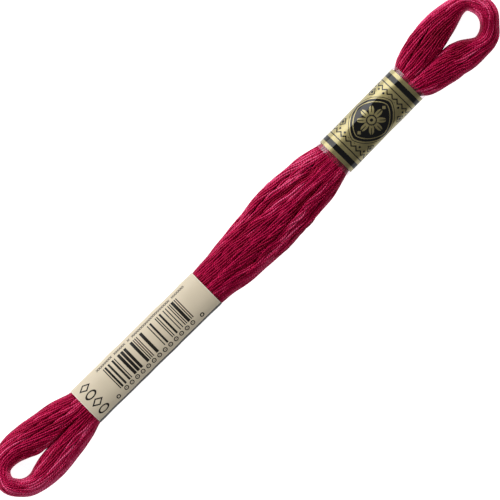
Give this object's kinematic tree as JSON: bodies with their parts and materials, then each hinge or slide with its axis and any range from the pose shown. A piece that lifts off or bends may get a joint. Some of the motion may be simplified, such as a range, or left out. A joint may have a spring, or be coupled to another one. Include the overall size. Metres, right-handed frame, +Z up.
{
  "type": "skein of embroidery floss",
  "caption": "Long flat skein of stranded embroidery floss, open in a loop at each end, held by a long paper band and a short printed film band.",
  "frame": {"origin": "under the centre of the skein's bounding box, on the surface that it lies on", "axes": "+X along the skein from the end with the long paper band to the end with the short film band, +Z up"},
  "size_m": [0.1672, 0.0179, 0.0085],
  "materials": {
    "floss": "mercerised cotton thread, deep crimson with a silky sheen",
    "paper": "cream satin paper with plain dark print",
    "film": "glossy film printed gold and black, clear at its two edges"
  },
  "bodies": {
    "root": {"skein": "floss", "paper_band": "paper", "film_band": "film"}
  },
  "joints": []
}
